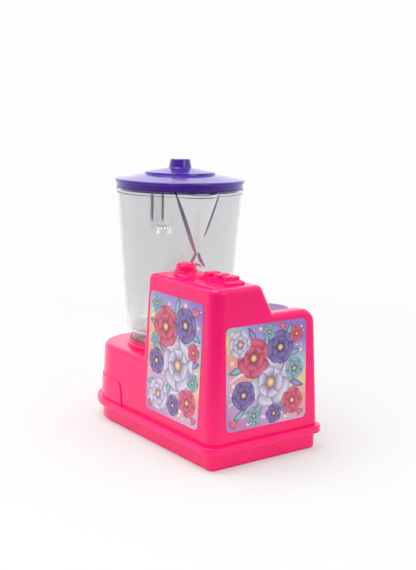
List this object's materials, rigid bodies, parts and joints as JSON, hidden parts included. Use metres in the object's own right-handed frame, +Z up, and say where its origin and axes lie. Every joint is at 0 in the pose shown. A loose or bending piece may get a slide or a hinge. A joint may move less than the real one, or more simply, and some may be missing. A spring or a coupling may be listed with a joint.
{
  "type": "toy blender",
  "caption": "Toy blender with a lidded clear jug on a moulded battery base, a push button, a row of keys and a small cup in an open bay.",
  "frame": {"origin": "on the floor, on the tray's flat underside, at the middle of the base's length and width", "axes": "+X along the base from the jug to the control block, +Y across it from the labelled side to the cup side, +Z up"},
  "size_m": [0.1923, 0.107, 0.2065],
  "materials": {
    "pink": "gloss",
    "clear": "polished",
    "purple": "gloss",
    "lilac": "gloss",
    "label": "satin",
    "steel": "satin",
    "black": "matte",
    "grey": "matte",
    "white": "satin",
    "brass": "satin",
    "board": "satin",
    "cell": "satin"
  },
  "bodies": {
    "base": {"upper_housing": "pink", "base_tray": "pink", "cell_door": "pink", "door_screw": "steel", "housing_screws": "steel", "plate_screws": "steel", "board_screws": "steel", "battery_cell_1": "cell", "battery_cell_2": "cell", "battery_cell_3": "cell", "cell_contacts": "steel", "speaker": "black", "motor_can": "steel", "motor_cap": "black", "motor_plate": "grey", "shaft_bush": "brass", "button_spring": "steel", "circuit_board": "board", "board_chip": "black", "key_switches": "black", "button_switch": "black", "front_sticker": "label", "side_sticker": "label"},
    "power_button": {"power_button": "pink"},
    "key_1": {"key_1": "pink"},
    "key_2": {"key_2": "pink"},
    "key_3": {"key_3": "pink"},
    "drive": {"drive_gear": "white", "drive_shaft": "steel", "drive_dog": "white"},
    "motor_rotor": {"motor_shaft": "steel", "motor_pinion": "white"},
    "jug": {"jug_body": "clear", "blade_bush": "purple"},
    "blade": {"driven_dog": "white", "blade_shaft": "steel", "blade_rotor": "purple"},
    "lid": {"jug_lid": "purple"},
    "cup": {"cup": "lilac"}
  },
  "joints": [
    {"name": "power_button_press", "type": "slide", "parent": "base", "child": "power_button", "axis": [0, 0, -1], "range_m": [0, 0.0025], "stiffness_N_per_m": 250, "springref_m": -0.001, "deforming": ["button_spring"]},
    {"name": "key_1_press", "type": "slide", "parent": "base", "child": "key_1", "axis": [0, 0, -1], "range_m": [0, 0.0012], "stiffness_N_per_m": 400, "springref_m": -0.0006},
    {"name": "key_2_press", "type": "slide", "parent": "base", "child": "key_2", "axis": [0, 0, -1], "range_m": [0, 0.0012], "stiffness_N_per_m": 400, "springref_m": -0.0006},
    {"name": "key_3_press", "type": "slide", "parent": "base", "child": "key_3", "axis": [0, 0, -1], "range_m": [0, 0.0012], "stiffness_N_per_m": 400, "springref_m": -0.0006},
    {"name": "drive_spin", "type": "hinge", "parent": "base", "child": "drive", "pos_m": [-0.0322, 0.0039, 0.05], "axis": [0, 0, 1], "continuous": true},
    {"name": "motor_spin", "type": "hinge", "parent": "base", "child": "motor_rotor", "pos_m": [-0.0522, 0.0039, 0.05], "axis": [0, 0, 1], "continuous": true},
    {"name": "jug_lift", "type": "slide", "parent": "base", "child": "jug", "axis": [0, 0, 1], "range_m": [0, 0.07]},
    {"name": "blade_spin", "type": "hinge", "parent": "jug", "child": "blade", "pos_m": [-0.0322, 0.0039, 0.08], "axis": [0, 0, 1], "continuous": true},
    {"name": "lid_lift", "type": "slide", "parent": "jug", "child": "lid", "axis": [0, 0, 1], "range_m": [0, 0.03]},
    {"name": "cup_lift", "type": "slide", "parent": "base", "child": "cup", "axis": [0, 0, 1], "range_m": [0, 0.08]}
  ],
  "couplings": [
    {"joint": "motor_spin", "follows": "drive_spin", "ratio": -4},
    {"joint": "blade_spin", "follows": "drive_spin", "ratio": 1}
  ]
}
